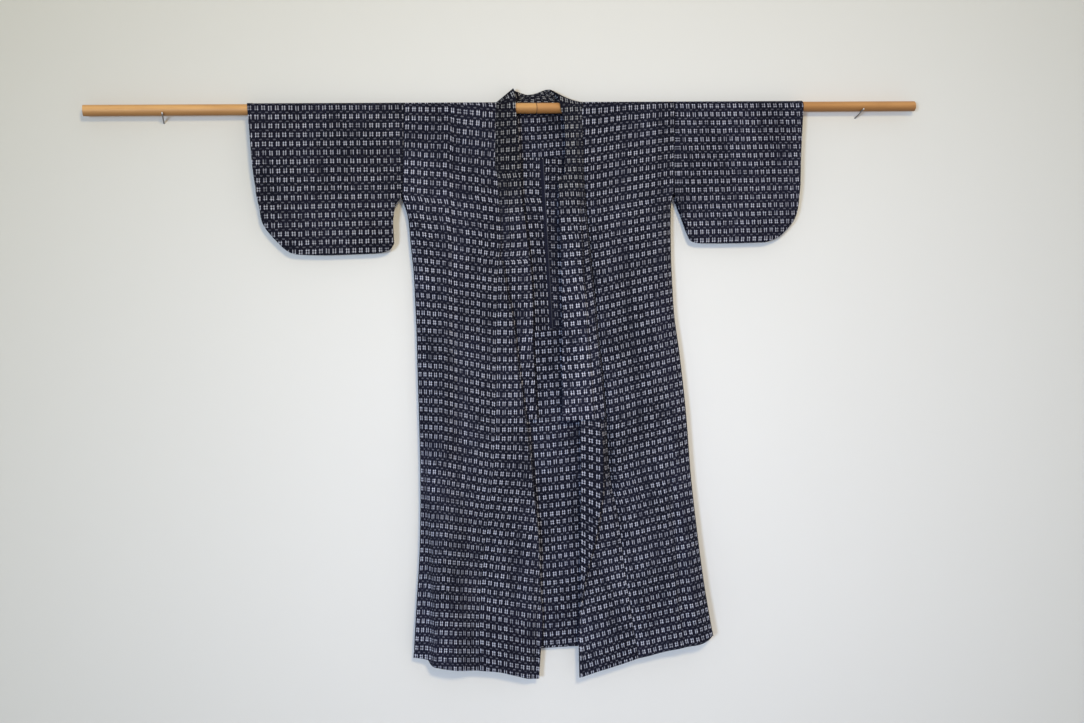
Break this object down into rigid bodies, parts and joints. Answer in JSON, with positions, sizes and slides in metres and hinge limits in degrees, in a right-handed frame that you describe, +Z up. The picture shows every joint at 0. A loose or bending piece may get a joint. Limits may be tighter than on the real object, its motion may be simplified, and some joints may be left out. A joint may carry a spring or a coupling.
{
  "type": "kimono on a wall rod",
  "caption": "Unlined indigo cotton kimono, hung open and flat on a round wooden rod that rests on pins driven into a wall.",
  "frame": {"origin": "middle of the rod's axis, between the wall pins that carry it", "axes": "+X along the rod to the viewer's right, +Y into the wall, +Z up; the fronts face -Y"},
  "size_m": [1.927, 0.0663, 1.3471],
  "materials": {
    "kasuri_cotton": "matt plain weave, deep indigo with small white marks",
    "plain_cotton": "matt plain weave, deep indigo",
    "rod_wood": "satin, clear oiled",
    "pin_steel": "dull"
  },
  "bodies": {
    "root": {"body_left": "kasuri_cotton", "body_right": "kasuri_cotton", "overlap_left": "kasuri_cotton", "overlap_right": "kasuri_cotton", "collar": "kasuri_cotton", "sleeve_left": "kasuri_cotton", "sleeve_right": "kasuri_cotton", "shoulder_lining": "kasuri_cotton", "seat_lining": "kasuri_cotton", "back_seam_allowance": "plain_cotton", "rod": "rod_wood", "wall_pin_left": "pin_steel", "wall_pin_right": "pin_steel"}
  },
  "joints": []
}
